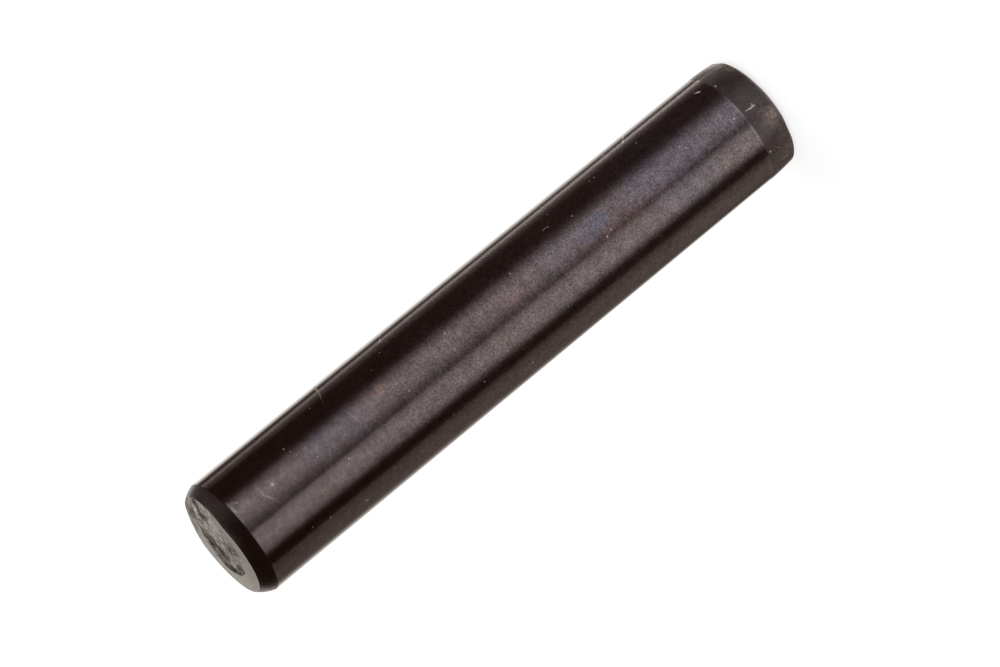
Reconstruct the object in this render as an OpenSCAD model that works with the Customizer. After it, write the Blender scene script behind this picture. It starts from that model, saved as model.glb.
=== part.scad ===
// Hardened dowel pin, turned and ground from one piece of bar.
// It stands on its lead end. The pin's axis is Z and the drive end is at the top.

/* [Shank] */
// Ground diameter of the shank
shank_d = 10; // [8:0.1:16]
// Length over both ends
pin_l = 55; // [30:1:80]

/* [Drive end] */
// Length of the chamfer along the pin
chamfer_l = 1.2; // [0.6:0.1:2]
// Slope of the chamfer from the pin's side, in degrees
chamfer_deg = 31; // [15:1:45]
// Radius of the slight crown that tumbling leaves on the chamfer
chamfer_crown_r = 3; // [2.4:0.1:12]

/* [Lead end] */
// Length of the tapering band that the grinding wheel does not reach
lead_l = 2.9; // [1.8:0.1:6]
// Radius of the band's crown, which runs into the shank without a step
lead_crown_r = 21; // [12:1:60]
// Radius of the corner between the end face and the band
lead_corner_r = 1.5; // [1.3:0.1:1.7]
// Width of that corner, from the end face's edge out to the shank's side
lead_corner_w = 1.2; // [0.6:0.1:1.4]

/* [Sheared centre of the drive face] */
// Width of the ground land at each side of the rough centre
side_land_w = 1.1; // [0.6:0.1:1.8]
// Width of the ground land at its broadest, opposite the run-out
broad_land_w = 1.45; // [1.1:0.05:1.8]
// Depth of the rough centre below the ground land
shear_depth = 0.15; // [0.08:0.01:0.3]
// Slope of the rough centre's floor towards the run-out, in degrees
shear_floor_deg = 1; // [0:0.1:1.5]
// How far the run-out reaches in from the edge of the drive face
runout_w = 3.2; // [1.5:0.1:3.8]
// Slope of the run-out, in degrees
runout_deg = 5.5; // [3:0.5:8]

/* [Hidden] */

// Facets of a full turn in the preview
preview_facets = 160;
// Overshoot of every cutter past the surface that it cuts
cut_margin = 1;

shank_r = shank_d / 2;

// Drive end: the chamfer is an arc over the straight line between its two edges
chamfer_drop = chamfer_l * tan(chamfer_deg);
face_r = shank_r - chamfer_drop;
chamfer_chord = chamfer_l / cos(chamfer_deg);
chamfer_inset = sqrt(pow(chamfer_crown_r, 2) - pow(chamfer_chord / 2, 2));
chamfer_centre = [
    (shank_r + face_r) / 2 - chamfer_inset * cos(chamfer_deg),
    pin_l - chamfer_l / 2 - chamfer_inset * sin(chamfer_deg)
];

// Lead end: the crown is tangent to the shank, and the corner to the end face
crown_centre = [shank_r - lead_crown_r, lead_l];
foot_r = shank_r - lead_corner_w;
corner_centre = [foot_r, lead_corner_r];

// Sheared centre: it lies off the pin's axis, away from the broad land
pocket_r = face_r - side_land_w;
pocket_x = broad_land_w - side_land_w;
runout_x = face_r - runout_w;

// Waste outside an arc, in the quarter below its centre or above it
module arc_waste(centre, arc_r, above) {
    translate(centre)
        difference() {
            translate([0, above ? 0 : -2 * arc_r]) square(2 * arc_r);
            circle(r = arc_r);
        }
}

// Half section of the turned pin, before its drive face is sheared
module pin_section() {
    difference() {
        square([shank_r, pin_l]);
        arc_waste(crown_centre, lead_crown_r, above = false);
        arc_waste(corner_centre, lead_corner_r, above = false);
        arc_waste(chamfer_centre, chamfer_crown_r, above = true);
    }
}

// Cutter for the rough centre, whose floor falls towards the run-out
module shear_pocket() {
    translate([pocket_x, 0, pin_l - shear_depth])
        rotate([0, shear_floor_deg, 0])
            cylinder(r = pocket_r, h = shear_depth + cut_margin);
}

// Cutter for the run-out, where the shear broke away below the face and through its edge
module shear_runout() {
    translate([runout_x, 0, pin_l])
        rotate([0, runout_deg, 0])
            translate([0, -shank_r - cut_margin, 0])
                cube([shank_d + cut_margin, shank_d + 2 * cut_margin, chamfer_l + cut_margin]);
}

module dowel_pin() {
    $fn = preview_facets;
    color([0.17, 0.13, 0.13])
        difference() {
            rotate_extrude() pin_section();
            shear_pocket();
            shear_runout();
        }
}

dowel_pin();
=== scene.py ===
"""Dowel pin in blackened steel, standing on its lead end.

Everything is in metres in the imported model's frame: the pin's axis is Z, its lead face lies at
z = 0 and its drive face at the top. The camera looks along +Y, from a little above. Places on the
pin's side are given by the distance down from the drive face in millimetres, and by the angle
round from the line that faces the camera, in degrees, counted towards -X.
"""
import logging
import math
from dataclasses import dataclass, field
from enum import Enum

import bmesh
import bpy
from mathutils import Matrix, Vector, noise


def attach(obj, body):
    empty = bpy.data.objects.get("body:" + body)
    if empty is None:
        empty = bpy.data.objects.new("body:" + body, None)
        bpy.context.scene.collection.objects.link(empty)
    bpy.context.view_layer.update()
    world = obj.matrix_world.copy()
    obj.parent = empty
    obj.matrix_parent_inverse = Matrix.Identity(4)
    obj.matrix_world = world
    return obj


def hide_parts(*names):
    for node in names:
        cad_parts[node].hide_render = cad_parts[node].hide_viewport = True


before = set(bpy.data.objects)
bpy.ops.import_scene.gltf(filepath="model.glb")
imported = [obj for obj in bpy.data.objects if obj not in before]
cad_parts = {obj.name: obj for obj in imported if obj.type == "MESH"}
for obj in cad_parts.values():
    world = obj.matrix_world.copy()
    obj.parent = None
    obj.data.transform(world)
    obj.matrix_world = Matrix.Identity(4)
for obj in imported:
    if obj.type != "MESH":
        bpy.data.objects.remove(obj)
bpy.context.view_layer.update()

MM = 0.001
LOG = logging.getLogger("dowel_pin")

Colour = tuple[float, float, float]
Point = tuple[float, float, float]
Socket = bpy.types.NodeSocket
Tree = bpy.types.NodeTree


class Region(Enum):
    """The pin's surfaces, each with a finish of its own, by their material index."""

    SHANK = 0
    CHAMFER = 1
    DRIVE_FACE = 2
    LEAD_BAND = 3
    LEAD_FACE = 4


def held_share(value: float) -> float:
    """Holds a value between 0 and 1."""
    return min(1.0, max(0.0, value))


def smooth_step(value: float) -> float:
    """Eases a value that runs from 0 to 1, and holds it there outside that range."""
    held = held_share(value)
    return held * held * (3.0 - 2.0 * held)


def table(kind: type, *rows: tuple[float, ...]) -> tuple:
    """Makes one object of a kind from each row of its numbers."""
    return tuple(kind(*row) for row in rows)


# Node wiring


@dataclass(frozen=True)
class Ramp:
    """A smooth change from low at start to high at end. It falls where start is past end."""

    start: float
    end: float
    low: float = 0.0
    high: float = 1.0


class Wiring:
    """Adds nodes to one node tree and joins them up."""

    def __init__(self, tree: Tree) -> None:
        """Keeps the tree that the nodes go in."""
        self.tree = tree

    def feed(self, socket: Socket, value: object) -> None:
        """Links a socket to another, or sets its own value.

        Args:
            socket: The input socket.
            value: An output socket, a number, a vector or a colour.
        """
        if isinstance(value, Socket):
            self.tree.links.new(value, socket)
        elif socket.type == "RGBA":
            socket.default_value = (*value, 1.0)
        else:
            socket.default_value = value

    def add(self, kind: str, inputs: dict[str | int, object], **settings: object) -> bpy.types.Node:
        """Adds one node.

        Args:
            kind: The node's type, without its ShaderNode prefix.
            inputs: What feeds its inputs, by their names or places.
            settings: Properties to set on the node first.

        Returns:
            The new node.
        """
        node = self.tree.nodes.new("ShaderNode" + kind)
        for name, value in settings.items():
            setattr(node, name, value)
        for key, value in inputs.items():
            self.feed(node.inputs[key], value)
        return node

    def math(self, operation: str, *values: object, clamp: bool = False) -> Socket:
        """Adds a Math node.

        Args:
            operation: The node's operation.
            values: Its inputs in order, sockets or numbers.
            clamp: True to hold the result between 0 and 1.

        Returns:
            The node's output.
        """
        return self.add("Math", dict(enumerate(values)), operation=operation, use_clamp=clamp).outputs[0]

    def times(self, first: object, *others: object) -> Socket:
        """Multiplies numbers or sockets."""
        for other in others:
            first = self.math("MULTIPLY", first, other)
        return first

    def most(self, first: object, *others: object) -> Socket:
        """Takes the greatest of several numbers or sockets."""
        for other in others:
            first = self.math("MAXIMUM", first, other)
        return first

    def vector(self, operation: str, *values: object) -> Socket:
        """Adds a Vector Math node.

        Args:
            operation: The node's operation.
            values: Its vector inputs in order, sockets or vectors.

        Returns:
            The output that the operation fills.
        """
        node = self.add("VectorMath", dict(enumerate(values)), operation=operation)
        return node.outputs["Value" if operation in ("DISTANCE", "DOT_PRODUCT", "LENGTH") else "Vector"]

    def scaled(self, vector: object, factor: object) -> Socket:
        """Multiplies a vector or a colour by one number."""
        return self.add("VectorMath", {0: vector, "Scale": factor}, operation="SCALE").outputs[0]

    def split(self, vector: Socket) -> tuple[Socket, ...]:
        """Gives the X, Y and Z of a vector."""
        return tuple(self.add("SeparateXYZ", {0: vector}).outputs)

    def ramp(self, value: Socket, shape: Ramp) -> Socket:
        """Puts a value through a ramp.

        Args:
            value: The value.
            shape: The ramp.

        Returns:
            The ramp's result.
        """
        inputs = {
            "Value": value, "From Min": shape.start, "From Max": shape.end,
            "To Min": shape.low, "To Max": shape.high,
        }
        return self.add("MapRange", inputs, interpolation_type="SMOOTHSTEP").outputs["Result"]

    def noise(self, place: Socket, scale: object, detail: float, roughness: float) -> Socket:
        """Adds a Noise Texture.

        Args:
            place: The coordinates that it reads.
            scale: How many cells fit in one unit.
            detail: How many octaves are added.
            roughness: How strong the finer octaves are.

        Returns:
            Its value, which varies about 0.5.
        """
        inputs = {"Vector": place, "Scale": scale, "Detail": detail, "Roughness": roughness}
        return self.add("TexNoise", inputs).outputs[0]

    def blend(self, share: object, first: object, second: object) -> Socket:
        """Mixes two colours.

        Args:
            share: How much of the second colour shows.
            first: The colour at 0.
            second: The colour at 1.

        Returns:
            The mixed colour.
        """
        return self.add("Mix", {0: share, 6: first, 7: second}, data_type="RGBA").outputs[2]

    def group(self, tree: Tree, **values: object) -> tuple[Socket, ...]:
        """Adds a shared node group.

        Args:
            tree: The group's tree.
            values: What feeds its inputs by name, with _ for a space.

        Returns:
            Its outputs in order.
        """
        inputs = {name.replace("_", " "): value for name, value in values.items()}
        return tuple(self.add("Group", inputs, node_tree=tree).outputs)


class MaterialWiring(Wiring):
    """The wiring of one new material."""

    def __init__(self, name: str) -> None:
        """Makes the material with its usual shader."""
        self.material = bpy.data.materials.new(name)
        self.material.use_nodes = True
        super().__init__(self.material.node_tree)
        self.shader = self.tree.nodes["Principled BSDF"]

    def paint(self, **values: object) -> None:
        """Feeds the shader's inputs by name, with _ for a space."""
        for name, value in values.items():
            self.feed(self.shader.inputs[name.replace("_", " ")], value)

    def swap_shader(self, shader: bpy.types.Node) -> bpy.types.Material:
        """Puts another shader in the usual one's place.

        Args:
            shader: The other shader's node.

        Returns:
            The material.
        """
        self.tree.nodes.remove(self.shader)
        self.feed(self.tree.nodes["Material Output"].inputs["Surface"], shader.outputs[0])
        return self.material


# Shared effects

# A mark fades from its rim to its middle, by the share of its size
SPOT_EDGE = Ramp(1.0, 0.35)
SCRATCH_EDGE = Ramp(1.0, 0.2)
# Drawing the coordinates out round the pin's axis turns the grain into lines
LINE_STRETCH = (0.06, 0.06, 1.0)


def open_group(
    name: str, inputs: dict[str, str], outputs: dict[str, str]
) -> tuple[Wiring, bpy.types.Node, bpy.types.Node]:
    """Starts a shader node group.

    Args:
        name: The group's name.
        inputs: The kind of each input socket, by its name.
        outputs: The kind of each output socket, by its name.

    Returns:
        The wiring of its tree, its input node and its output node.
    """
    tree = bpy.data.node_groups.new(name, "ShaderNodeTree")
    for side, sockets in (("INPUT", inputs), ("OUTPUT", outputs)):
        for socket, kind in sockets.items():
            tree.interface.new_socket(name=socket, in_out=side, socket_type="NodeSocket" + kind)
    return Wiring(tree), tree.nodes.new("NodeGroupInput"), tree.nodes.new("NodeGroupOutput")


def unrolled_side(shank_r: float, pin_l: float) -> Tree:
    """Builds the group that rolls the pin's side out flat, in millimetres.

    Args:
        shank_r: Radius of the shank, in millimetres.
        pin_l: Length of the pin, in millimetres.

    Returns:
        The group. Place holds the way round the shank, the distance from the drive face, and 0.
        Solid holds the plain coordinates in millimetres.
    """
    wiring, source, result = open_group(
        "unrolled_side", {"Object": "Vector"}, {"Place": "Vector", "Solid": "Vector"}
    )
    solid = wiring.scaled(source.outputs["Object"], 1 / MM)
    x, y, z = wiring.split(solid)
    turn = wiring.math("ARCTAN2", wiring.times(x, -1.0), wiring.times(y, -1.0))
    down = wiring.math("SUBTRACT", pin_l, z)
    place = wiring.add("CombineXYZ", {0: wiring.times(turn, shank_r), 1: down})
    wiring.feed(result.inputs["Place"], place.outputs[0])
    wiring.feed(result.inputs["Solid"], solid)
    return wiring.tree


def spot_mask() -> Tree:
    """Builds the group that marks one spot with a soft edge.

    Returns:
        The group. Its mask is 1 inside the spot.
    """
    wiring, source, result = open_group(
        "spot_mask", {"Place": "Vector", "Centre": "Vector", "Size": "Float"}, {"Mask": "Float"}
    )
    away = wiring.vector("DISTANCE", source.outputs["Place"], source.outputs["Centre"])
    share = wiring.math("DIVIDE", away, source.outputs["Size"])
    wiring.feed(result.inputs["Mask"], wiring.ramp(share, SPOT_EDGE))
    return wiring.tree


def scratch_mask() -> Tree:
    """Builds the group that marks one straight scratch between two places.

    Returns:
        The group. Its mask is 1 in the middle of the scratch.
    """
    wiring, source, result = open_group(
        "scratch_mask",
        {"Place": "Vector", "Start": "Vector", "End": "Vector", "Width": "Float"},
        {"Mask": "Float"},
    )
    run = wiring.vector("SUBTRACT", source.outputs["End"], source.outputs["Start"])
    reach = wiring.vector("SUBTRACT", source.outputs["Place"], source.outputs["Start"])
    covered, whole = wiring.vector("DOT_PRODUCT", reach, run), wiring.vector("DOT_PRODUCT", run, run)
    nearest = wiring.scaled(run, wiring.math("DIVIDE", covered, whole, clamp=True))
    share = wiring.math("DIVIDE", wiring.vector("DISTANCE", reach, nearest), source.outputs["Width"])
    wiring.feed(result.inputs["Mask"], wiring.ramp(share, SCRATCH_EDGE))
    return wiring.tree


def metal_grain() -> Tree:
    """Builds the group of the fine grain that shows in every finish of the pin.

    Returns:
        The group. Grain is a fine even speckle, Lines are fine marks round the pin's axis, and
        Cloud is a slow change. All three vary about 0.5.
    """
    textures = {"Grain": (3.0, 0.7), "Lines": (4.0, 0.6), "Cloud": (3.0, 0.55)}
    wiring, source, result = open_group(
        "metal_grain",
        {"Solid": "Vector", **{name + " Scale": "Float" for name in textures}},
        {name: "Float" for name in textures},
    )
    solid = source.outputs["Solid"]
    for name, (detail, roughness) in textures.items():
        place = wiring.vector("MULTIPLY", solid, LINE_STRETCH) if name == "Lines" else solid
        texture = wiring.noise(place, source.outputs[name + " Scale"], detail, roughness)
        wiring.feed(result.inputs[name], texture)
    return wiring.tree


class Effects:
    """The shared node groups, each built once."""

    def __init__(self, shank_r: float, pin_l: float) -> None:
        """Builds the groups.

        Args:
            shank_r: Radius of the shank, in millimetres.
            pin_l: Length of the pin, in millimetres.
        """
        self.shank_r = shank_r
        self.side = unrolled_side(shank_r, pin_l)
        self.spot = spot_mask()
        self.scratch = scratch_mask()
        self.grain = metal_grain()

    def on_side(self, down: float, angle: float) -> Point:
        """Gives a place on the rolled-out side, in millimetres."""
        return (math.radians(angle) * self.shank_r, down, 0.0)


# Marks on the pin


@dataclass(frozen=True)
class Spot:
    """A round mark on the pin's side. Size is its radius in millimetres, and strength is from 0 to 1."""

    down: float
    angle: float
    size: float
    strength: float = 1.0

    def mask(self, wiring: Wiring, effects: Effects, place: Socket) -> Socket:
        """Gives the spot's mask on the rolled-out coordinates."""
        centre = effects.on_side(self.down, self.angle)
        return wiring.group(effects.spot, Place=place, Centre=centre, Size=self.size)[0]


@dataclass(frozen=True)
class Scratch:
    """A straight scratch or fibre on the pin's side. Width is half its breadth in millimetres."""

    down: float
    angle: float
    end_down: float
    end_angle: float
    width: float
    strength: float = 1.0

    def mask(self, wiring: Wiring, effects: Effects, place: Socket) -> Socket:
        """Gives the scratch's mask on the rolled-out coordinates."""
        start, end = effects.on_side(self.down, self.angle), effects.on_side(self.end_down, self.end_angle)
        return wiring.group(effects.scratch, Place=place, Start=start, End=end, Width=self.width)[0]


@dataclass(frozen=True)
class FacePatch:
    """A round patch on the drive face. Its place and its size, the radius, are in millimetres."""

    x: float
    y: float
    size: float
    strength: float

    def mask(self, wiring: Wiring, effects: Effects, flat: Socket) -> Socket:
        """Gives the patch's mask on the coordinates in millimetres with a Z of 0."""
        spot = wiring.group(effects.spot, Place=flat, Centre=(self.x, self.y, 0.0), Size=self.size)[0]
        return wiring.times(spot, self.strength)


DUST = table(
    Spot, (7.4, -33, 0.12, 0.4), (4.85, -14.3, 0.17, 0.8), (4.85, -14.3, 0.36, 0.08),
    (7.6, -27, 0.08, 0.3), (5.4, 39, 0.09, 0.3), (7.0, 43, 0.1, 0.35), (10.15, 56, 0.12, 0.4),
    (10.3, 57.5, 0.09, 0.5), (10.6, 10, 0.1, 0.4), (10.8, 12, 0.07, 0.4), (13.4, 47, 0.08, 0.3),
    (11.2, -50, 0.08, 0.35), (16.6, -39, 0.08, 0.3), (18.1, -49, 0.09, 0.35), (17.5, -1.5, 0.08, 0.4),
    (16.9, -8, 0.07, 0.35), (19.2, -56, 0.09, 0.3), (19.4, 42, 0.08, 0.3), (22.6, -21, 0.12, 0.4),
    (22.9, -19, 0.09, 0.35), (22.8, 36, 0.09, 0.4), (25.6, 27, 0.08, 0.35), (26.3, 57.5, 0.1, 0.4),
    (27.1, 56, 0.12, 0.5), (29.6, -26, 0.1, 0.5), (31.6, 31, 0.09, 0.35), (36.4, -31, 0.09, 0.5),
    (35.3, -50, 0.09, 0.35), (37.3, 4, 0.11, 0.5), (37.9, 1.5, 0.1, 0.4), (39.6, -49, 0.1, 0.35),
    (40.1, -49, 0.09, 0.5), (44.5, -49, 0.1, 0.4), (42.3, -69, 0.1, 0.35), (46.8, -12, 0.1, 0.5),
    (46.5, -17, 0.08, 0.4), (51.3, -5, 0.13, 0.7), (51.0, -3.5, 0.08, 0.6),
)
SMEARS = table(Spot, (1.5, -24, 0.35, 0.05), (2.2, -14, 0.9, 0.025), (4.9, -16, 0.7, 0.02))
BAND_DUST = table(Spot, (52.3, -41.5, 0.11, 0.8), (52.35, 41, 0.12, 0.7), (53.2, 44, 0.08, 0.4))
FLECKS = table(
    Scratch, (34.0, -38.4, 34.25, -39, 0.08, 0.4), (34.25, -39, 34.5, -38, 0.08, 0.45),
    (50.9, -50.3, 51.15, -48.6, 0.11), (50.75, -51, 50.9, -50.5, 0.07, 0.5),
)
BAND_FLECKS = table(
    Scratch, (52.75, -3.4, 53.3, -3.2, 0.095, 0.85), (52.45, -4.0, 52.8, -3.6, 0.07, 0.5),
    (53.1, -3.6, 53.2, -5.4, 0.09, 0.7),
)
SCRATCHES = table(
    Scratch, (3.8, -24, 3.85, -12, 0.13, 0.055), (3.8, -12, 4.15, -5, 0.15, 0.1),
    (4.15, -5, 4.4, 3, 0.15, 0.07), (1.3, -30.5, 2.9, -30.5, 0.09, 0.07), (9.2, 6, 9.9, -6, 0.14, 0.05),
    (12.9, -20, 13.2, 5, 0.14, 0.05), (22.3, -15, 22.3, 2, 0.12, 0.08),
    (21.4, 12, 21.4, 26, 0.12, 0.04), (1.35, -27, 1.4, -16, 0.13, 0.16),
    (1.55, -25, 2.0, -21, 0.16, 0.1), (18.9, -61, 19.5, -74, 0.12, 0.3),
    (44.1, -64, 44.8, -76, 0.11, 0.6),
)
FIBRE = table(
    Scratch, (12.2, -46, 12.5, -55, 0.07, 0.22), (12.45, -53, 12.8, -63, 0.08, 0.45),
    (12.75, -62, 13.1, -79, 0.12, 0.95),
)
RUST = table(
    Spot, (15.8, -19.5, 0.45, 0.8), (15.4, -18, 0.25, 0.6), (16.1, -20, 0.22, 0.45),
    (28.7, -7, 0.5, 0.75), (28.3, -11, 0.3, 0.4), (29.3, -12, 0.35, 0.45), (27.9, -6, 0.4, 0.4),
    (23.5, -10, 0.25, 0.45), (22.3, 4, 0.25, 0.3), (26.6, 34, 0.2, 0.5), (34.3, -11, 0.3, 0.45),
    (28.5, 3, 1.0, 0.2), (30.5, 1, 1.0, 0.2), (33.5, 3, 0.9, 0.2), (35.4, 4, 0.9, 0.25),
    (37.4, 1, 0.9, 0.3), (38.6, 2, 0.8, 0.3), (39.8, 1, 0.7, 0.3), (40.9, 3, 0.7, 0.3),
    (42.0, 1, 0.7, 0.3), (43.2, 3, 0.7, 0.28), (44.4, 2, 0.6, 0.25), (42.7, 19, 0.9, 0.2),
)
BLUE_TINT = table(
    Spot, (37.6, -12.5, 1.1, 0.85), (36.2, -10, 1.3, 0.5), (35.0, -16, 0.9, 0.4), (33.0, -8, 2.0, 0.25),
    (44.5, -15, 5.5, 0.5), (50.5, -12, 3.0, 0.35), (12.5, -13, 2.2, 0.3), (9.6, -15, 1.6, 0.35),
)
WHOLE_BAND = table(Spot, (52.8, -27, 2.6, 0.75), (54.2, -14, 1.3, 0.8), (52.6, 10, 1.2, 0.4))
# Worn patches on the lead band. The ones at -62 and -77 degrees are painted highlights on the rounded
# corner.
WORN_AND_HIGHLIT_BAND = table(
    Spot, (54.0, 12, 0.75, 0.9), (53.7, 18, 0.8, 0.55), (53.2, 17, 0.7, 0.3), (53.5, 6, 0.6, 0.35),
    (53.7, 58, 0.9, 0.3), (54.4, -62, 0.9, 0.7), (53.7, -77, 1.4, 0.7), (54.4, 50, 0.7, 0.5),
    (54.5, -49, 0.8, 0.4), (54.2, 33, 1.0, 0.25),
)


# Finishes


class Metal(MaterialWiring):
    """The wiring of one of the pin's materials, with its coordinates in millimetres and its grain."""

    def __init__(self, name: str, effects: Effects, cells: tuple[float, float, float]) -> None:
        """Starts the material.

        Args:
            name: The material's name.
            effects: The shared node groups.
            cells: How many cells of the grain, of the lines and of the clouds fit in a millimetre.
        """
        super().__init__(name)
        self.effects = effects
        coordinates = self.add("TexCoord", {}).outputs["Object"]
        self.place, self.solid = self.group(effects.side, Object=coordinates)
        self.grain, self.lines, self.cloud = self.group(
            effects.grain, Solid=self.solid,
            Grain_Scale=cells[0], Lines_Scale=cells[1], Cloud_Scale=cells[2],
        )

    def marks(self, marks: tuple[Spot, ...] | tuple[Scratch, ...], place: Socket) -> Socket:
        """Joins the masks of several marks.

        Args:
            marks: The marks.
            place: The rolled-out coordinates.

        Returns:
            The mask of them all.
        """
        total: object = 0.0
        for mark in marks:
            total = self.most(self.times(mark.mask(self, self.effects, place), mark.strength), total)
        return total

    def relief(self, height: Socket, depth: float) -> None:
        """Turns a height into fine relief.

        Args:
            height: The height, about 0 to 1.
            depth: The real depth of that height, in millimetres.
        """
        bump = self.add("Bump", {"Strength": 1.0, "Distance": depth * MM, "Height": height})
        self.paint(Normal=bump.outputs["Normal"])


@dataclass(frozen=True)
class GroundBlackSteel:
    """The shank: ground, then blackened, with fine lines round it, dust, scratches and light rust."""

    cells: tuple[float, float, float] = (6.5, 9.0, 0.35)
    warm: Colour = (0.127, 0.098, 0.091)
    cool: Colour = (0.117, 0.096, 0.101)
    hue: Ramp = Ramp(0.3, 0.7)
    blue: Colour = (0.116, 0.107, 0.134)
    dust: Colour = (0.88, 0.84, 0.81)
    rust: Colour = (0.275, 0.165, 0.138)
    rusted_grain: Ramp = Ramp(0.36, 0.6, 0.2)
    fibre: Colour = (0.66, 0.53, 0.30)
    edge: Colour = (0.26, 0.235, 0.225)
    edge_down: Ramp = Ramp(51.8, 52.05)
    edge_share: float = 0.3
    broken_grain: Ramp = Ramp(0.36, 0.56, 0.25)
    speck: Ramp = Ramp(0.32, 0.68, -1.0, 1.0)
    speck_strength: Ramp = Ramp(5.0, 24.0, 0.17, 0.40)
    cloud: Ramp = Ramp(0.35, 0.65, 0.95, 1.05)
    patches: Ramp = Ramp(0.34, 0.66, 0.87, 1.13)
    bright_lines: Ramp = Ramp(0.3, 0.7, 0.95, 1.05)
    roughness: Ramp = Ramp(2.0, 40.0, 0.135, 0.165)
    rough_lines: Ramp = Ramp(0.3, 0.7, -0.012, 0.012)
    rough_cover: float = 0.35
    rust_cover: float = 0.15
    line_height: float = 0.12
    grain_height: Ramp = Ramp(6.0, 20.0, 0.5, 1.05)
    dust_height: float = 4.0
    relief: float = 0.0035
    wander: Point = (1.6, 1.6, 0.0)
    fine_dust_chosen: float = 0.66
    fine_dust_dot: Ramp = Ramp(0.075, 0.03)
    fine_dust_strength: float = 0.25

    def build(self, effects: Effects) -> bpy.types.Material:
        """Builds the material.

        Args:
            effects: The shared node groups.

        Returns:
            The material.
        """
        metal = Metal("ground_black_steel", effects, self.cells)
        down = metal.split(metal.place)[1]
        broken = metal.ramp(metal.grain, self.broken_grain)
        shifted = self.wandering(metal)
        worn = metal.most(metal.marks(SCRATCHES, metal.place), metal.marks(SMEARS, shifted))
        flecks = metal.times(metal.marks(FLECKS, metal.place), broken)
        dust = metal.most(metal.marks(DUST, metal.place), flecks)
        rust = metal.times(metal.marks(RUST, shifted), metal.ramp(metal.grain, self.rusted_grain))
        fibre = metal.times(metal.marks(FIBRE, metal.place), broken)
        edge = metal.times(metal.ramp(down, self.edge_down), broken, self.edge_share)
        pale = metal.most(dust, self.fine_dust(metal), metal.times(worn, broken))

        colour = metal.scaled(self.tone(metal, metal.marks(BLUE_TINT, shifted)), self.mottle(metal, down))
        for share, over in ((rust, self.rust), (fibre, self.fibre), (edge, self.edge), (pale, self.dust)):
            colour = metal.blend(share, colour, over)
        covered = metal.most(dust, fibre, metal.times(rust, self.rust_cover))
        line_roughness = metal.ramp(metal.lines, self.rough_lines)
        rough = metal.math("ADD", metal.ramp(down, self.roughness), line_roughness)
        metal.paint(
            Base_Color=colour,
            Metallic=metal.math("SUBTRACT", 1.0, covered, clamp=True),
            Roughness=metal.math("ADD", rough, metal.times(covered, self.rough_cover)),
        )

        specks = metal.times(metal.grain, metal.ramp(down, self.grain_height))
        height = metal.math("ADD", metal.times(metal.lines, self.line_height), specks)
        metal.relief(metal.math("ADD", height, metal.times(dust, self.dust_height)), self.relief)
        return metal.material

    def tone(self, metal: Metal, blue: Socket) -> Socket:
        """Mixes the oxide's own colours in soft patches.

        Args:
            metal: The wiring of the material.
            blue: The mask of the blue patches.

        Returns:
            The colour.
        """
        apart = metal.vector("ADD", metal.solid, (31.0, 17.0, 0.0))
        hue = metal.ramp(metal.noise(apart, 1.4, 5.0, 0.65), self.hue)
        return metal.blend(blue, metal.blend(hue, self.warm, self.cool), self.blue)

    def mottle(self, metal: Metal, down: Socket) -> Socket:
        """Varies the brightness: fine specks that strengthen down the pin, and soft clouds.

        Args:
            metal: The wiring of the material.
            down: The distance from the drive face, in millimetres.

        Returns:
            The factor on the colour, about 1.
        """
        strength = metal.ramp(down, self.speck_strength)
        fine = metal.math("MULTIPLY_ADD", metal.ramp(metal.grain, self.speck), strength, 1.0)
        patches = metal.ramp(metal.noise(metal.solid, 1.5, 4.0, 0.6), self.patches)
        lines = metal.ramp(metal.lines, self.bright_lines)
        return metal.times(fine, metal.ramp(metal.cloud, self.cloud), patches, lines)

    def wandering(self, metal: Metal) -> Socket:
        """Shifts the rolled-out coordinates a little, so that a spot's outline is uneven.

        Args:
            metal: The wiring of the material.

        Returns:
            The shifted coordinates.
        """
        texture = metal.add("TexNoise", {"Vector": metal.solid, "Scale": 2.2, "Detail": 4.0})
        centred = metal.vector("SUBTRACT", texture.outputs["Color"], (0.5, 0.5, 0.5))
        return metal.vector("ADD", metal.place, metal.vector("MULTIPLY", centred, self.wander))

    def fine_dust(self, metal: Metal) -> Socket:
        """Scatters tiny pale specks.

        Args:
            metal: The wiring of the material.

        Returns:
            The mask of the specks.
        """
        cells = metal.add("TexVoronoi", {"Vector": metal.solid, "Scale": 1.1})
        lot = metal.add("SeparateColor", {0: cells.outputs["Color"]}).outputs[0]
        chosen = metal.math("GREATER_THAN", lot, self.fine_dust_chosen)
        dot = metal.ramp(cells.outputs["Distance"], self.fine_dust_dot)
        return metal.times(dot, chosen, self.fine_dust_strength)


@dataclass(frozen=True)
class TurnedBlackSteel:
    """The chamfer: turned before blackening, duller than the shank and a little darker."""

    cells: tuple[float, float, float] = (9.0, 22.0, 0.8)
    tone: Colour = (0.088, 0.070, 0.068)
    speckle: Ramp = Ramp(0.3, 0.7, 0.85, 1.15)
    roughness: Ramp = Ramp(0.3, 0.7, 0.30, 0.38)
    relief: float = 0.003

    def build(self, effects: Effects) -> bpy.types.Material:
        """Builds the material.

        Args:
            effects: The shared node groups.

        Returns:
            The material.
        """
        metal = Metal("turned_black_steel", effects, self.cells)
        metal.paint(
            Base_Color=metal.scaled(self.tone, metal.ramp(metal.grain, self.speckle)),
            Metallic=1.0,
            Roughness=metal.ramp(metal.cloud, self.roughness),
        )
        metal.relief(metal.lines, self.relief)
        return metal.material


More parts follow.
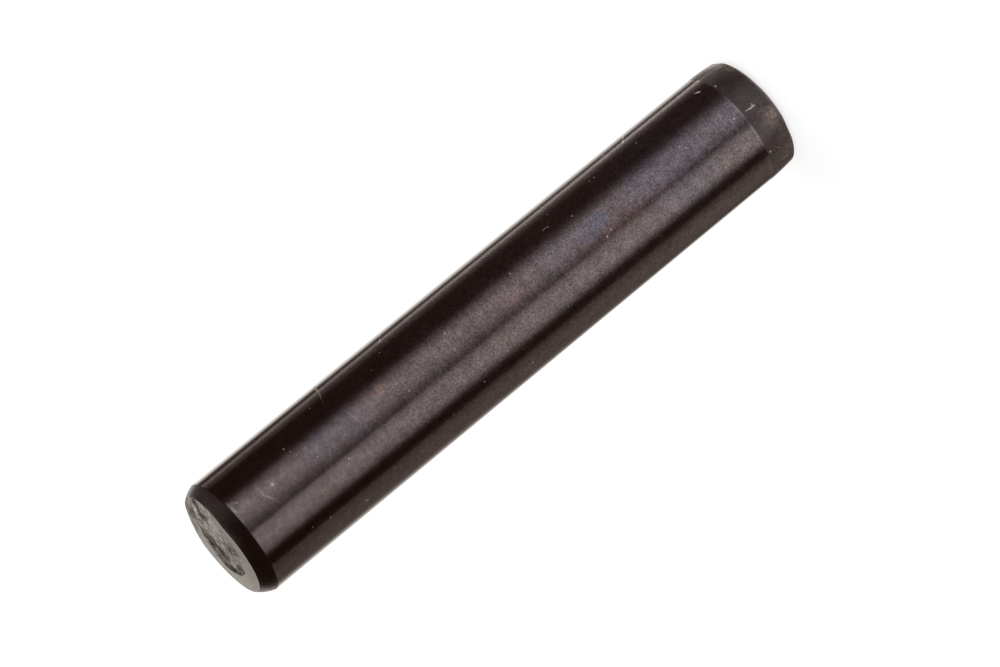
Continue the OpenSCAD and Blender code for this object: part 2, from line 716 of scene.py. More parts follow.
@dataclass(frozen=True)
class ShearedSteel:
    """The drive face: a ground land that the blackening barely covers, and a torn grey centre.

    Lengths are in millimetres. Sunk is the depth below the land.
    """

    pin_l: float
    face_r: float = 4.28
    cells: tuple[float, float, float] = (6.0, 3.0, 0.9)
    # The land runs from painted shade near the camera to a paler painted reflection away from it.
    land_near_shaded: Colour = (0.185, 0.166, 0.148)
    land_far_lit: Colour = (0.33, 0.308, 0.282)
    rim: Colour = (0.36, 0.335, 0.31)
    rim_inside: tuple[float, float] = (0.28, 0.08)
    rim_share: float = 0.55
    # Painted light on the torn centre: ridges take a pale painted highlight, hollows a dark painted shade.
    ridge: Colour = (0.42, 0.385, 0.35)
    hollow: Colour = (0.058, 0.050, 0.045)
    torn_height: Ramp = Ramp(0.43, 1.13)
    raised_share: float = 0.7
    # Painted shade: a dark colour on the rough centre's wall, towards -X and +Y.
    wall: Colour = (0.03, 0.025, 0.022)
    wall_shade_share: float = 0.7
    wall_top: Ramp = Ramp(0.015, 0.04)
    wall_foot: Ramp = Ramp(0.125, 0.07)
    wall_x: Ramp = Ramp(0.4, -1.2)
    wall_y: Ramp = Ramp(-1.4, 0.2)
    oxide: Colour = (0.085, 0.055, 0.045)
    oxidised: tuple[FacePatch, ...] = (
        FacePatch(3.7, 1.2, 1.5, 0.45), FacePatch(4.1, -1.5, 0.8, 0.7),
        FacePatch(2.5, -0.9, 0.9, 0.4), FacePatch(-1.8, 2.3, 0.8, 0.6),
    )
    # Patches where painted shade darkens the torn centre in its deep grooves.
    deep_shade: tuple[FacePatch, ...] = (
        FacePatch(-0.5, -1.6, 1.6, 0.05), FacePatch(0.2, 2.0, 1.9, 0.12),
        FacePatch(2.6, -1.0, 0.7, 0.08), FacePatch(0.7, -2.7, 1.0, 0.06),
    )
    tear_deg: float = 12.0
    tear_stretch: Point = (0.9, 3.8, 1.0)
    ragged: float = 0.16
    torn_sunk: Ramp = Ramp(0.03, 0.12)
    coarse: Ramp = Ramp(0.34, 0.66, -0.4, 0.4)
    grit: Ramp = Ramp(0.36, 0.64, -0.28, 0.28)
    land_mottle: float = 0.5
    grazing: Colour = (0.80, 0.765, 0.73)
    land_roughness: float = 0.36
    torn_roughness: tuple[float, float] = (0.22, 0.06)
    wall_roughness: float = 0.3
    land_grain: float = 0.25
    relief: float = 0.02

    def build(self, effects: Effects) -> bpy.types.Material:
        """Builds the material.

        Args:
            effects: The shared node groups.

        Returns:
            The material.
        """
        metal = Metal("bare_drive_face", effects, self.cells)
        x, y, z = metal.split(metal.solid)
        flat = metal.vector("MULTIPLY", metal.solid, (1.0, 1.0, 0.0))
        sunk = metal.math("SUBTRACT", self.pin_l, z)
        # The wall's mask, where shade is painted and the roughness rises.
        shaded_wall = metal.times(
            metal.ramp(sunk, self.wall_top), metal.ramp(sunk, self.wall_foot),
            metal.ramp(x, self.wall_x), metal.ramp(y, self.wall_y),
        )
        tears = self.along_tears(metal)
        streaks = metal.noise(tears, 1.0, 5.0, 0.75)
        ragged = metal.math("MULTIPLY_ADD", metal.math("SUBTRACT", streaks, 0.5), self.ragged, sunk)
        below = metal.ramp(ragged, self.torn_sunk)

        height = self.torn_level(metal, streaks, flat)
        # Painted highlight on the ridges, painted shade in the hollows.
        torn = metal.blend(height, self.hollow, self.ridge)
        for patch in self.oxidised:
            torn = metal.blend(patch.mask(metal, effects, flat), torn, self.oxide)
        colour = metal.blend(below, self.land(metal, y, flat), torn)
        # Painted shade on the wall.
        colour = metal.blend(metal.times(shaded_wall, self.wall_shade_share), colour, self.wall)
        coarse = metal.ramp(metal.noise(tears, 1.5, 3.0, 0.7), self.coarse)
        mottle = metal.math("ADD", coarse, metal.times(metal.ramp(metal.grain, self.grit), below))
        strength = metal.math("ADD", self.land_mottle, below)
        dull = metal.math("MULTIPLY_ADD", metal.math("SUBTRACT", 1.0, height), *self.torn_roughness)
        dull = metal.most(metal.times(below, dull), metal.times(shaded_wall, self.wall_roughness))
        metal.paint(
            Base_Color=metal.scaled(colour, metal.math("MULTIPLY_ADD", mottle, strength, 1.0)),
            Metallic=1.0,
            Specular_Tint=self.grazing,
            Roughness=metal.math("ADD", self.land_roughness, dull),
        )
        grain = metal.times(metal.grain, metal.math("ADD", self.land_grain, below))
        metal.relief(grain, self.relief)
        return metal.material

    def along_tears(self, metal: Metal) -> Socket:
        """Stretches the coordinates along the way that the metal tore.

        Args:
            metal: The wiring of the material.

        Returns:
            The stretched coordinates.
        """
        turn = (0.0, 0.0, math.radians(self.tear_deg))
        turned = metal.add("Mapping", {"Vector": metal.solid, "Rotation": turn})
        return metal.vector("MULTIPLY", turned.outputs[0], self.tear_stretch)

    def torn_level(self, metal: Metal, streaks: Socket, flat: Socket) -> Socket:
        """Says how high the torn metal stands, from the mesh's tears, finer streaks and the deep shade
        patches.

        Args:
            metal: The wiring of the material.
            streaks: The streaks, which vary about 0.5.
            flat: The coordinates in millimetres, with a Z of 0.

        Returns:
            0 in a hollow, 1 on a ridge.
        """
        raised = metal.add("Attribute", {}, attribute_name="tear").outputs["Fac"]
        level = metal.math("ADD", metal.times(raised, self.raised_share), streaks)
        for patch in self.deep_shade:
            level = metal.math("SUBTRACT", level, patch.mask(metal, metal.effects, flat))
        return metal.ramp(level, self.torn_height)

    def land(self, metal: Metal, y: Socket, flat: Socket) -> Socket:
        """Colours the ground land with painted light: paler away from the camera as a painted reflection,
        and paler along its rim.

        Args:
            metal: The wiring of the material.
            y: The Y coordinate in millimetres.
            flat: The coordinates in millimetres, with a Z of 0.

        Returns:
            The colour.
        """
        # Painted reflection: paler away from the camera, towards +Y.
        land = metal.blend(metal.ramp(y, Ramp(-self.face_r, self.face_r)), self.land_near_shaded, self.land_far_lit)
        at_rim = Ramp(*(self.face_r - inside for inside in self.rim_inside))
        rim = metal.ramp(metal.vector("LENGTH", flat), at_rim)
        return metal.blend(metal.times(rim, self.rim_share), land, self.rim)


@dataclass(frozen=True)
class TumbledBlackSteel:
    """The lead end: tumbled and blackened, so duller and greyer than the ground shank."""

    cells: tuple[float, float, float] = (5.0, 6.0, 0.9)
    tone: Colour = (0.095, 0.068, 0.063)
    whole: Colour = (0.058, 0.045, 0.043)
    # The worn patches' pale brown, also the colour of the painted highlights on the lead corner.
    worn: Colour = (0.33, 0.245, 0.21)
    worn_grain: Ramp = Ramp(0.38, 0.6, 0.35)
    rim_up: Ramp = Ramp(0.75, 0.2)
    rim_share: float = 0.5
    specks: Ramp = Ramp(0.32, 0.68, 0.72, 1.28)
    clouds: Ramp = Ramp(0.34, 0.66, 0.78, 1.22)
    dust: Colour = (0.92, 0.88, 0.85)
    metal_share: float = 0.5
    roughness: Ramp = Ramp(0.3, 0.7, 0.50, 0.60)
    film: float = 0.36
    film_roughness: float = 0.2
    dust_height: float = 2.0
    relief: float = 0.012

    def build(self, effects: Effects) -> bpy.types.Material:
        """Builds the material.

        Args:
            effects: The shared node groups.

        Returns:
            The material.
        """
        metal = Metal("tumbled_black_steel", effects, self.cells)
        dust = metal.most(metal.marks(BAND_DUST, metal.place), metal.marks(BAND_FLECKS, metal.place))
        # Real worn patches and painted highlights, with a paler brown rim towards the lead face.
        rim = metal.times(metal.ramp(metal.split(metal.solid)[2], self.rim_up), self.rim_share)
        patch = metal.most(metal.marks(WORN_AND_HIGHLIT_BAND, metal.place), rim)
        worn = metal.times(patch, metal.ramp(metal.grain, self.worn_grain))
        colour = metal.blend(metal.marks(WHOLE_BAND, metal.place), self.tone, self.whole)
        colour = metal.blend(worn, colour, self.worn)
        mottle = metal.times(metal.ramp(metal.grain, self.specks), metal.ramp(metal.cloud, self.clouds))
        metal.paint(
            Base_Color=metal.blend(dust, metal.scaled(colour, mottle), self.dust),
            Metallic=metal.times(metal.math("SUBTRACT", 1.0, dust, clamp=True), self.metal_share),
            Roughness=metal.ramp(metal.cloud, self.roughness),
            Coat_Weight=self.film,
            Coat_Roughness=self.film_roughness,
        )
        metal.relief(metal.math("ADD", metal.grain, metal.times(dust, self.dust_height)), self.relief)
        return metal.material


# Shapes


def linked_object(name: str, bm: bmesh.types.BMesh) -> bpy.types.Object:
    """Turns a finished bmesh into an object at the origin.

    Args:
        name: The name of the object and of its mesh.
        bm: The bmesh, which is freed.

    Returns:
        The object, linked to the scene.
    """
    mesh = bpy.data.meshes.new(name)
    bm.to_mesh(mesh)
    bm.free()
    made = bpy.data.objects.new(name, mesh)
    bpy.context.collection.objects.link(made)
    return made


class SectionLine:
    """Draws the pin's half section in the XZ plane, as one open line, from lengths in millimetres."""

    def __init__(self, start_r: float, start_z: float) -> None:
        """Starts the line at a distance from the axis and a height."""
        self.bm = bmesh.new()
        self.tip = bmesh.ops.create_vert(self.bm, co=Vector((start_r, 0.0, start_z)) * MM)["vert"][0]

    def line_to(self, r: float, z: float, steps: int = 1) -> None:
        """Extends the line straight to a point.

        Args:
            r: Distance of the point from the axis.
            z: Height of the point.
            steps: Number of even steps.
        """
        stride = (Vector((r, 0.0, z)) * MM - self.tip.co) / steps
        for _ in range(steps):
            self.tip = bmesh.ops.extrude_vert_indiv(self.bm, verts=[self.tip])["verts"][0]
            bmesh.ops.translate(self.bm, vec=stride, verts=[self.tip])

    def arc(self, centre: tuple[float, float], degrees: float, steps: int) -> None:
        """Extends the line along an arc.

        Args:
            centre: The arc's centre, as its distance from the axis and its height.
            degrees: The turn, counted from +X towards +Z.
            steps: Number of even steps.
        """
        made = bmesh.ops.spin(
            self.bm, geom=[self.tip], cent=Vector((centre[0], 0.0, centre[1])) * MM, axis=(0.0, -1.0, 0.0),
            angle=math.radians(degrees), steps=steps,
        )
        self.tip = next(item for item in made["geom_last"] if isinstance(item, bmesh.types.BMVert))


@dataclass(frozen=True)
class Tear:
    """A ridge or a groove in the torn metal, as a line on the drive face with lengths in millimetres."""

    x: float
    y: float
    end_x: float
    end_y: float
    width: float
    rise: float

    def height(self, place: Vector) -> float:
        """Gives its height at a place.

        Args:
            place: The place.

        Returns:
            The height, below 0 in a groove.
        """
        start = Vector((self.x, self.y))
        run = Vector((self.end_x, self.end_y)) - start
        share = held_share((place - start).dot(run) / run.length_squared)
        away = (place - start - run * share).length
        return self.rise * smooth_step(1.0 - away / self.width)


TEARS = table(
    Tear, (4.4, -1.7, 3.1, -0.6, 0.5, -0.1), (2.75, 0.0, 2.4, -1.5, 0.55, -0.06),
    (4.3, -0.8, 2.9, 0.4, 0.4, 0.07), (2.05, 0.5, 1.9, -2.0, 0.5, 0.07),
    (1.25, 0.4, 1.0, -1.3, 0.6, 0.06), (1.0, -1.3, 1.7, -2.4, 0.6, 0.05),
    (4.0, -2.3, 3.1, -3.5, 0.5, 0.06), (3.2, -1.9, 2.4, -2.9, 0.5, 0.02),
    (-0.5, -0.9, -1.2, -2.2, 1.1, -0.035), (0.7, 2.8, -0.2, 1.8, 1.3, -0.03),
    (0.1, 0.2, -1.2, -0.2, 0.5, 0.04), (-1.95, 0.5, -2.2, -1.5, 0.5, 0.06),
    (-0.5, 1.5, -1.6, 2.2, 1.1, -0.03), (-1.75, 2.4, -2.35, 0.9, 0.35, -0.03),
    (1.2, 2.0, 0.6, 1.6, 0.8, -0.02), (3.7, 1.3, 2.6, 0.3, 0.8, -0.03), (4.1, 2.0, 4.35, 0.6, 0.6, 0.2),
)


@dataclass(frozen=True)
class Dent:
    """A shallow worn place on the pin's lead corner. Down, size and depth are in millimetres."""

    down: float
    angle: float
    size: float
    depth: float


DENTS = table(Dent, (54.8, 38, 1.5, 0.1), (54.9, -21, 0.9, 0.05), (54.9, -76, 1.6, 0.13))


@dataclass
class ShearedCentre:
    """The torn centre of the drive face and its run-out, with lengths in millimetres.

    The outline gives the rough centre's reach from the axis, at angles counted from +X towards +Y.
    Its wall softens towards +X from soft_x on, and towards -Y from soft_y on. The seed fixes the
    drift of the tears, which would otherwise change from run to run.
    """

    seed: int = 7
    outline: tuple[tuple[float, float], ...] = (
        (-81, 3.3), (0, 3.6), (86, 3.15), (108, 3.25), (126, 3.25), (145, 2.95), (180, 2.75),
        (198, 2.85), (229, 3.05), (251, 3.1), (279, 3.3),
    )
    depth: float = 0.15
    least_depth: float = 0.02
    floor_deg: float = 1.0
    wall: float = 0.28
    soft_wall: float = 0.5
    soft_x: tuple[float, float] = (-0.9, 1.4)
    soft_y: tuple[float, float] = (0.1, 1.5)
    uneven: float = 0.1
    uneven_waves: float = 1.6
    runout_x: float = 1.079
    runout_deg: float = 5.5
    runout_blend: float = 0.2
    warp: float = 0.25
    warp_waves: float = 1.3
    rough_height: float = 0.035
    rough_waves: tuple[float, float] = (2.6, 2.9)
    tear_scale: float = 0.1
    calm_r: float = 3.9
    calm_share: float = 0.6
    outline_r: float = 4.5

    def pocket_share(self, x: float, y: float) -> float:
        """Says how far a place lies inside the rough centre.

        Args:
            x: The place's X.
            y: The place's Y.

        Returns:
            0 on the land, 1 on the rough centre's floor.
        """
        turn = math.degrees(math.atan2(y, x))
        if turn < self.outline[0][0]:
            turn += 360.0
        first, second = next(pair for pair in zip(self.outline, self.outline[1:]) if turn <= pair[1][0])
        share = smooth_step((turn - first[0]) / (second[0] - first[0]))
        edge = first[1] + (second[1] - first[1]) * share
        edge += self.uneven * noise.noise(Vector((x * self.uneven_waves, y * self.uneven_waves, 4.2)))
        across = smooth_step((x - self.soft_x[0]) / self.soft_x[1])
        along = smooth_step((self.soft_y[0] - y) / self.soft_y[1])
        wall = self.wall + self.soft_wall * max(across, along)
        return smooth_step((edge - math.hypot(x, y)) / wall)

    def tear(self, x: float, y: float) -> float:
        """Gives the height of the torn metal above the smooth floor.

        Args:
            x: The place's X.
            y: The place's Y.

        Returns:
            The height.
        """
        place = Vector((x, y))
        drift = noise.noise_vector(Vector((x * self.warp_waves, y * self.warp_waves, 1.7)))
        torn = sum(tear.height(place + drift.xy * self.warp) for tear in TEARS)
        waves_x, waves_y = self.rough_waves
        rough = noise.fractal(Vector((x * waves_x, y * waves_y, 0.3)), 0.6, 2.1, 5)
        outwards = smooth_step((place.length - self.calm_r) / (self.outline_r - self.calm_r))
        return (1.0 - self.calm_share * outwards) * (torn + self.rough_height * rough)

    def sunk(self, x: float, y: float) -> float:
        """Gives the depth of the metal that is left, below the plane of the land.

        Args:
            x: The place's X.
            y: The place's Y.

        Returns:
            The depth, 0 on the land.
        """
        tear = self.tear(x, y)
        floor = self.depth + x * math.tan(math.radians(self.floor_deg)) - tear
        pocket = self.pocket_share(x, y) * max(self.least_depth, floor)
        fall = max(0.0, x - self.runout_x) * math.tan(math.radians(self.runout_deg))
        runout = fall - tear * smooth_step(fall / self.runout_blend)
        return max(pocket, runout, 0.0)


@dataclass
class PinBody:
    """The whole pin, turned as one closed shell. Lengths are in millimetres."""

    shank_r: float = 5.0
    pin_l: float = 55.0
    chamfer_l: float = 1.2
    chamfer_deg: float = 31.0
    chamfer_crown_r: float = 3.0
    lead_l: float = 2.9
    lead_crown_r: float = 21.0
    lead_corner_r: float = 1.5
    lead_corner_w: float = 1.2
    edge_loop: float = 0.05
    sharp_deg: float = 24.0
    merge: float = 0.0001
    level_gap: float = 0.001
    dent_inner_r: float = 3.3
    dent_fade: float = 0.5
    turn_steps: int = 256
    foot_steps: int = 16
    lead_steps: int = 14
    shank_steps: int = 40
    chamfer_steps: int = 22
    face_rings: int = 96
    sheared: ShearedCentre = field(default_factory=ShearedCentre)

    def section(self) -> bmesh.types.BMesh:
        """Draws the half section, from the lead face's centre to the drive face's centre.

        Returns:
            The section as a line of edges.
        """
        crown = (self.shank_r - self.lead_crown_r, self.lead_l)
        corner = (self.shank_r - self.lead_corner_w, self.lead_corner_r)
        gap = math.dist(crown, corner)
        reach = self.lead_crown_r
        lean = math.atan2(corner[1] - crown[1], corner[0] - crown[0])
        spread = math.acos((gap ** 2 + reach ** 2 - self.lead_corner_r ** 2) / (2 * gap * reach))
        meet = lean - spread
        meet_r = crown[0] + reach * math.cos(meet)
        meet_z = crown[1] + reach * math.sin(meet)
        corner_end = math.atan2(meet_z - corner[1], meet_r - corner[0])

        line = SectionLine(0.0, 0.0)
        line.line_to(corner[0], 0.0, self.foot_steps)
        line.arc(corner, math.degrees(corner_end) + 90.0, self.lead_steps)
        line.arc(crown, -math.degrees(meet), self.lead_steps)
        top = self.pin_l - self.chamfer_l
        line.line_to(self.shank_r, self.lead_l + self.edge_loop)
        line.line_to(self.shank_r, top - self.edge_loop, self.shank_steps)
        line.line_to(self.shank_r, top)
        slope = math.radians(self.chamfer_deg)
        face_r = self.shank_r - self.chamfer_l * math.tan(slope)
        half_chord = self.chamfer_l / math.cos(slope) / 2
        inset = math.sqrt(self.chamfer_crown_r ** 2 - half_chord ** 2)
        centre = (
            (self.shank_r + face_r) / 2 - inset * math.cos(slope),
            self.pin_l - self.chamfer_l / 2 - inset * math.sin(slope),
        )
        sweep = 2 * math.degrees(math.asin(half_chord / self.chamfer_crown_r))
        line.arc(centre, sweep, self.chamfer_steps)
        line.line_to(0.0, self.pin_l, self.face_rings)
        return line.bm

    def turned(self) -> bmesh.types.BMesh:
        """Spins the section into a closed shell.

        Returns:
            The shell, with its normals outwards.
        """
        bm = self.section()
        bmesh.ops.spin(
            bm, geom=[*bm.verts, *bm.edges], cent=(0.0, 0.0, 0.0), axis=(0.0, 0.0, 1.0),
            angle=2 * math.pi, steps=self.turn_steps, use_merge=True,
        )
        bmesh.ops.remove_doubles(bm, verts=bm.verts, dist=self.merge * MM)
        bmesh.ops.recalc_face_normals(bm, faces=bm.faces)
        return bm

    def region_at(self, r: float, z: float) -> Region:
        """Finds the surface that a face of the turned shell is on.

        Args:
            r: Distance of the face's middle from the axis.
            z: Height of the face's middle.

        Returns:
            The surface.
        """
        if z > self.pin_l - self.level_gap:
            return Region.DRIVE_FACE
        if z > self.pin_l - self.chamfer_l:
            return Region.CHAMFER
        if z > self.lead_l:
            return Region.SHANK
        if z < self.level_gap and r < self.shank_r - self.lead_corner_w:
            return Region.LEAD_FACE
        return Region.LEAD_BAND

    def mark_regions(self, bm: bmesh.types.BMesh) -> None:
        """Gives each face the material index of its surface.

        Args:
            bm: The turned shell, before its face is torn.
        """
        for face in bm.faces:
            face.smooth = True
            middle = face.calc_center_median()
            face.material_index = self.region_at(middle.xy.length / MM, middle.z / MM).value

    def tear_face(self, bm: bmesh.types.BMesh) -> None:
        """Lowers the shell to the torn surface where that lies below it.

        Args:
            bm: The turned shell.
        """
        noise.seed_set(self.sheared.seed)
        lowered = set()
        raised = bm.verts.layers.float.new("tear")
        for vert in bm.verts:
            if vert.co.z < (self.pin_l - self.chamfer_l) * MM:
                continue
            place = (vert.co.x / MM, vert.co.y / MM)
            level = (self.pin_l - self.sheared.sunk(*place)) * MM
            vert[raised] = 0.5 + self.sheared.tear(*place) / (2 * self.sheared.tear_scale)
            if level < vert.co.z:
                vert.co.z = level
                lowered.add(vert)
        for face in bm.faces:
            if face.material_index == Region.CHAMFER.value and all(v in lowered for v in face.verts):
                face.material_index = Region.DRIVE_FACE.value

    def dent(self, bm: bmesh.types.BMesh) -> None:
        """Presses the worn places into the lead corner.

        Args:
            bm: The turned shell.
        """
        for vert in bm.verts:
            if vert.co.z > self.lead_l * MM:
                continue
            turn = math.atan2(-vert.co.x, -vert.co.y)
            reach = vert.co.xy.length
            for dent in DENTS:
                round_by = (turn - math.radians(dent.angle)) * self.shank_r
                along_by = self.pin_l - dent.down - vert.co.z / MM
                share = smooth_step(1.0 - math.hypot(round_by, along_by) / dent.size)
                press = dent.depth * share * smooth_step((reach / MM - self.dent_inner_r) / self.dent_fade)
                vert.co.xy *= 1.0 - press * MM / max(reach, MM)

    def build(self) -> bpy.types.Object:
        """Builds the pin's mesh.

        Returns:
            The pin's object.
        """
        bm = self.turned()
        self.mark_regions(bm)
        self.tear_face(bm)
        self.dent(bm)
        pin = linked_object("pin_body", bm)
        pin.data.set_sharp_from_angle(angle=math.radians(self.sharp_deg))
        return pin

    def dress(self, pin: bpy.types.Object) -> None:
        """Gives the pin its finishes, in the order of the regions.

        Args:
            pin: The pin's object.
        """
        effects = Effects(self.shank_r, self.pin_l)
        tumbled = TumbledBlackSteel().build(effects)
        finishes = {
            Region.SHANK: GroundBlackSteel().build(effects),
            Region.CHAMFER: TurnedBlackSteel().build(effects),
            Region.DRIVE_FACE: ShearedSteel(self.pin_l).build(effects),
            Region.LEAD_BAND: tumbled,
            Region.LEAD_FACE: tumbled,
        }
        for region in Region:
            pin.data.materials.append(finishes[region])


# Studio

CAMERA_PLACE = (0.0, -0.36415, 0.13890)


@dataclass(frozen=True)
class Stop:
    """The light of a card at one angle round the pin, in degrees.

    It shines at the value of drive where the camera sees it near the drive end, and at the value of
    lead near the lead end.
    """

    angle: float
    drive: float
    lead: float


@dataclass(frozen=True)
class Card:
    """A curved card round the pin, seen only in reflections, that shines more in some places than others.

    Low and high are its edges' angles above the floor in degrees, and away is its distance in metres.
    Where its light has the value faint, it shines in the colour faint_glow, so dim light is brown.
    """

    name: str
    low: float
    high: float
    stops: tuple[Stop, ...]
    tint: Colour = (1.0, 1.0, 1.0)
    away: float = 0.9
    faint: float = 0.1
    faint_glow: Colour = (0.10, 0.06, 0.05)
    drive_height: float = 0.052
    lead_height: float = 0.005

    def mirror_level(self, height: float) -> float:
        """Finds the card's level that the camera sees mirrored in the shank at a height."""
        slope = (CAMERA_PLACE[2] - height) / -CAMERA_PLACE[1]
        return height - slope * self.away

    def glow(self, angle: float, drive_share: float) -> Colour:
        """Mixes the light at a place on the card.

        Args:
            angle: The angle round the pin.
            drive_share: 1 at the level that shows near the drive end, 0 at the one near the lead end.

        Returns:
            The light's colour.
        """
        pairs = list(zip(self.stops, self.stops[1:]))
        first, second = next((pair for pair in pairs if angle <= pair[1].angle), pairs[-1])
        share = min(1.0, (angle - first.angle) / (second.angle - first.angle))
        drive = first.drive + (second.drive - first.drive) * share
        lead = first.lead + (second.lead - first.lead) * share
        above = lead + (drive - lead) * drive_share - self.faint
        return tuple(max(0.0, base + tint * above) for base, tint in zip(self.faint_glow, self.tint))

    def bent(self, levels: list[float]) -> bmesh.types.BMesh:
        """Bends the card round the pin's axis.

        Args:
            levels: The heights of its rows of vertices, in metres.

        Returns:
            The card's mesh.
        """
        start, end = self.stops[0].angle, self.stops[-1].angle
        bm = bmesh.new()
        column = [bmesh.ops.create_vert(bm, co=(0.0, -self.away, level))["vert"][0] for level in levels]
        edges = [bm.edges.new(pair) for pair in zip(column, column[1:])]
        bmesh.ops.rotate(bm, verts=column, matrix=Matrix.Rotation(math.radians(-start), 3, "Z"))
        bmesh.ops.spin(
            bm, geom=[*column, *edges], cent=(0.0, 0.0, 0.0), axis=(0.0, 0.0, 1.0),
            angle=math.radians(start - end), steps=max(1, round(end - start)),
        )
        return bm

    def build(self, material: bpy.types.Material) -> bpy.types.Object:
        """Builds the card.

        Args:
            material: The cards' material, which shines in the colour of the attribute "glow".

        Returns:
            The card's object.
        """
        lead_level, drive_level = self.mirror_level(self.lead_height), self.mirror_level(self.drive_height)
        low, high = (self.away * math.tan(math.radians(tilt)) for tilt in (self.low, self.high))
        bm = self.bent([low, *(level for level in (lead_level, drive_level) if low < level < high), high])
        layer = bm.verts.layers.float_color.new("glow")
        middle = (self.stops[0].angle + self.stops[-1].angle) / 2
        for vert in bm.verts:
            turn = math.degrees(math.atan2(-vert.co.x, -vert.co.y))
            angle = middle + (turn - middle + 180.0) % 360.0 - 180.0
            drive_share = held_share((vert.co.z - lead_level) / (drive_level - lead_level))
            vert[layer] = (*self.glow(angle, drive_share), 1.0)
        card = linked_object(self.name, bm)
        card.data.materials.append(material)
        card.visible_camera = card.visible_diffuse = card.visible_shadow = False
        return card


@dataclass(frozen=True)
class Softbox:
    """A rectangular lamp that faces the pin's middle. Angles are in degrees, lengths in metres."""

    name: str
    angle: float
    tilt: float
    width: float
    height: float
    radiance: float
    away: float = 0.8
    tint: Colour = (1.0, 1.0, 1.0)
    mirrored: bool = False
    aim_height: float = 0.0275

    def build(self) -> bpy.types.Object:
        """Makes the lamp. An area lamp's power is pi times its radiance times its area.

        Returns:
            The lamp's object.
        """
        lamp = bpy.data.lights.new(self.name, "AREA")
        lamp.shape = "RECTANGLE"
        lamp.size = self.width
        lamp.size_y = self.height
        lamp.color = self.tint
        lamp.energy = math.pi * self.radiance * self.width * self.height
        holder = bpy.data.objects.new(self.name, lamp)
        turn, rise = math.radians(self.angle), math.radians(self.tilt)
        level = math.cos(rise)
        towards = Vector((-math.sin(turn) * level, -math.cos(turn) * level, math.sin(rise)))
        holder.location = towards * self.away + Vector((0.0, 0.0, self.aim_height))
        holder.rotation_euler = towards.to_track_quat("Z", "Y").to_euler()
        bpy.context.collection.objects.link(holder)
        holder.visible_camera = False
        holder.visible_glossy = self.mirrored
        return holder


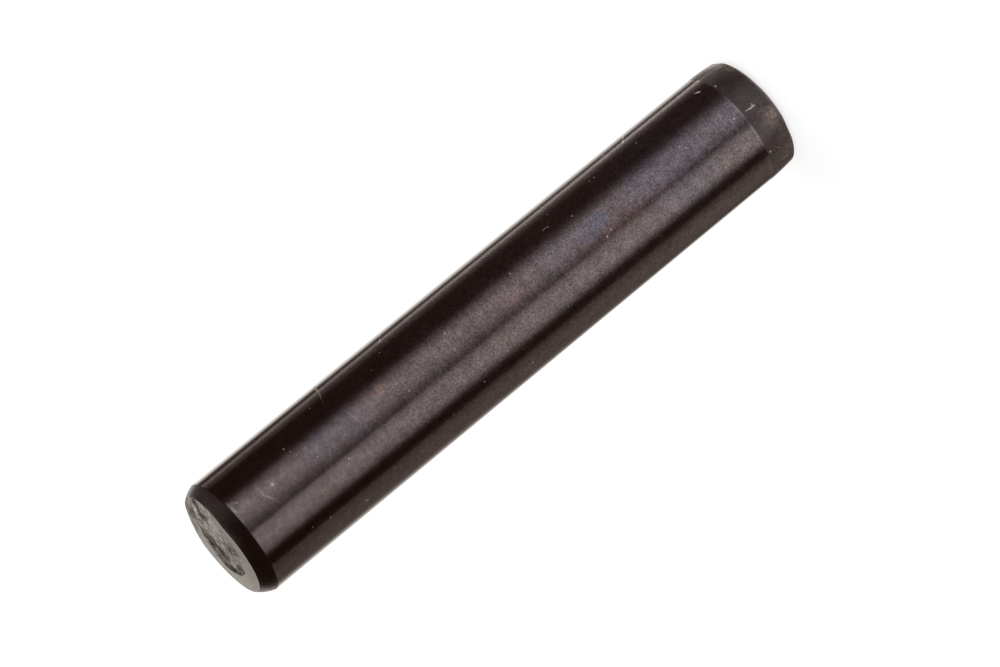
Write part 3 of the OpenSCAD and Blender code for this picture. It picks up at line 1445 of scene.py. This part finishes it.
@dataclass
class Studio:
    """The floor, the lamps, the cards and the camera."""

    floor_size: float = 3.0
    floor_colour: Colour = (0.5, 0.5, 0.5)
    floor_lift: float = 0.78
    world_light: float = 0.5
    white: Colour = (1.0, 1.0, 1.0)
    lens: float = 179.7
    sensor_width: float = 36.0
    clip_start: float = 0.01
    camera_right: Point = (-0.63464, -0.22724, -0.73864)
    camera_up: Point = (0.77280, -0.18378, -0.60746)
    camera_back: Point = (0.002289, -0.95634, 0.29224)
    cards: tuple[Card, ...] = (
        Card("dark_flag", -85, 76, table(Stop, (-150, 0.085, 0.14), (150, 0.085, 0.14)), away=1.5),
        Card("left_rim", -50, 8, table(
            Stop, (-182, 1.15, 1.12), (-166, 1.3, 1.2), (-156, 1.6, 1.4), (-151, 1.55, 1.2),
            (-145, 0.6, 0.55), (-141, 0.22, 0.25),
        ), (1.0, 0.98, 0.925)),
        Card("left_strip", -50, 0, table(
            Stop, (-141, 0.18, 0.12), (-134, 0.12, 0.12), (-131.5, 0.12, 0.4), (-129.5, 0.2, 3.05),
            (-126.5, 0.25, 2.9), (-125, 0.8, 1.1), (-121, 0.8, 0.56), (-119, 0.35, 0.5),
            (-114, 0.26, 0.33), (-108, 0.2, 0.22), (-104, 0.11, 0.16),
        ), (1.0, 0.98, 0.94)),
        Card("left_light", -50, 0, table(
            Stop, (-66, 0.09, 0.14), (-60, 0.11, 0.18), (-56, 0.2, 0.27), (-50, 0.5, 0.44),
            (-44, 0.82, 0.68), (-36, 1.15, 1.06), (-30, 1.36, 1.2), (-26, 1.28, 1.2), (-20, 1.08, 1.22),
            (-12, 0.98, 1.2), (-8, 0.82, 1.12), (-4, 0.6, 1.02), (0, 0.46, 0.88), (4, 0.36, 0.64),
            (8, 0.27, 0.42), (13.5, 0.24, 0.34),
        ), (1.0, 1.02, 1.07)),
        Card("right_light", -50, 0, table(
            Stop, (13.5, 0.85, 0.78), (17, 0.9, 0.88), (22, 1.06, 1.25), (32, 1.24, 1.42),
            (38, 1.12, 1.6), (44, 0.98, 1.62), (50, 0.75, 1.4), (56, 0.5, 1.0), (60, 0.2, 0.7),
            (63, 0.08, 0.4), (68, 0.07, 0.12), (80, 0.07, 0.12),
        ), (1.0, 1.03, 1.03)),
        Card("right_dim", -50, 0, table(
            Stop, (86, 0.28, 0.33), (92, 0.33, 0.4), (98, 0.34, 0.5), (104, 0.37, 0.55),
            (112, 0.38, 0.53), (120, 0.36, 0.46), (132, 0.32, 0.34), (138, 0.29, 0.28),
        ), (1.0, 0.95, 0.85)),
        Card("right_rim", -50, 8, table(
            Stop, (138, 0.29, 0.28), (142, 0.40, 0.20), (148, 0.66, 0.10), (152, 0.80, 0.12),
            (156, 0.90, 0.25), (160, 1.04, 0.65), (165, 1.12, 1.15), (180, 1.1, 1.1),
        ), (1.0, 0.98, 0.92)),
        Card("low_left", -62, -33, table(
            Stop, (-176, 1.2, 1.2), (-150, 1.8, 1.8), (-122, 1.8, 1.8), (-108, 0.8, 0.8),
            (-84, 0.4, 0.4),
        ), away=0.5),
        Card("low_right", -62, -33, table(
            Stop, (70, 0.2, 0.2), (100, 0.55, 0.55), (176, 0.9, 0.9),
        ), away=0.5),
        Card("high_left_back", 2, 30, table(Stop, (-145, 0.33, 0.33), (-112, 0.33, 0.33))),
        Card("high_left_front", 14, 54, table(Stop, (-112, 0.34, 0.34), (-38, 0.34, 0.34))),
    )
    softboxes: tuple[Softbox, ...] = (
        Softbox("left_softbox", -30, -18, 0.459, 0.60, 1.36, tint=(1.0, 0.995, 1.05)),
        Softbox("left_softbox_edge", -7, -18, 0.196, 0.60, 0.90, tint=(1.0, 0.98, 1.03)),
        Softbox("right_softbox", 28, -18, 0.40, 0.60, 1.36),
        Softbox("right_softbox_edge", 49, -18, 0.196, 0.60, 0.95),
        Softbox("top_softbox", -125, 62, 0.7, 0.7, 1.0, 1.1, mirrored=True),
    )

    def floor(self) -> bpy.types.Object:
        """Makes the pale floor: white to the camera, with the pin's soft shadow, and not in reflections.

        Returns:
            The floor's object.
        """
        bm = bmesh.new()
        bmesh.ops.create_grid(bm, x_segments=1, y_segments=1, size=self.floor_size)
        floor = linked_object("floor", bm)
        wiring = MaterialWiring("pale_floor")
        seen = wiring.add("LightPath", {}).outputs["Is Camera Ray"]
        matt = wiring.add("BsdfDiffuse", {"Color": self.floor_colour})
        strength = wiring.times(seen, self.floor_lift)
        lift = wiring.add("Emission", {"Color": self.white, "Strength": strength})
        both = wiring.add("AddShader", {0: matt.outputs[0], 1: lift.outputs[0]})
        floor.data.materials.append(wiring.swap_shader(both))
        floor.visible_glossy = False
        return floor

    def shining(self) -> bpy.types.Material:
        """Makes the cards' material.

        Returns:
            The material.
        """
        wiring = MaterialWiring("card_glow")
        glow = wiring.add("Attribute", {}, attribute_name="glow").outputs["Color"]
        return wiring.swap_shader(wiring.add("Emission", {"Color": glow}))

    def world(self) -> None:
        """Makes the world: white to the camera and in reflections, and plain grey light elsewhere."""
        world = bpy.data.worlds.new("studio")
        bpy.context.scene.world = world
        world.use_nodes = True
        wiring = Wiring(world.node_tree)
        sky = world.node_tree.nodes["Background"]
        path = wiring.add("LightPath", {}).outputs
        seen = wiring.most(path["Is Camera Ray"], path["Is Glossy Ray"], path["Is Transmission Ray"])
        strength = wiring.math("MULTIPLY_ADD", seen, 1.0 - self.world_light, self.world_light)
        wiring.feed(sky.inputs["Color"], self.white)
        wiring.feed(sky.inputs["Strength"], strength)

    def camera(self) -> None:
        """Makes the scene's camera at the viewing angle."""
        data = bpy.data.cameras.new("camera")
        data.lens = self.lens
        data.sensor_width = self.sensor_width
        data.clip_start = self.clip_start
        camera = bpy.data.objects.new("camera", data)
        axes = Matrix((self.camera_right, self.camera_up, self.camera_back)).transposed()
        camera.matrix_world = Matrix.Translation(CAMERA_PLACE) @ axes.to_4x4()
        bpy.context.collection.objects.link(camera)
        bpy.context.scene.camera = camera

    def build(self) -> None:
        """Builds the studio."""
        self.camera()
        self.world()
        for softbox in self.softboxes:
            softbox.build()
        shining = self.shining()
        self.floor()
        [card.build(shining) for card in self.cards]
        bpy.context.scene.view_settings.view_transform = "Standard"


def report(piece: bpy.types.Object) -> None:
    """Logs the size of one finished piece's mesh."""
    LOG.info("%s: %d vertices, %d faces", piece.name, len(piece.data.vertices), len(piece.data.polygons))


def main() -> None:
    """Builds the pin and the studio in order."""
    logging.basicConfig(level=logging.INFO)
    body = PinBody()
    pin = body.build()
    body.dress(pin)
    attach(pin, "root")
    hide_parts("dowel_pin")
    report(pin)
    Studio().build()


if __name__ == "__main__":
    main()
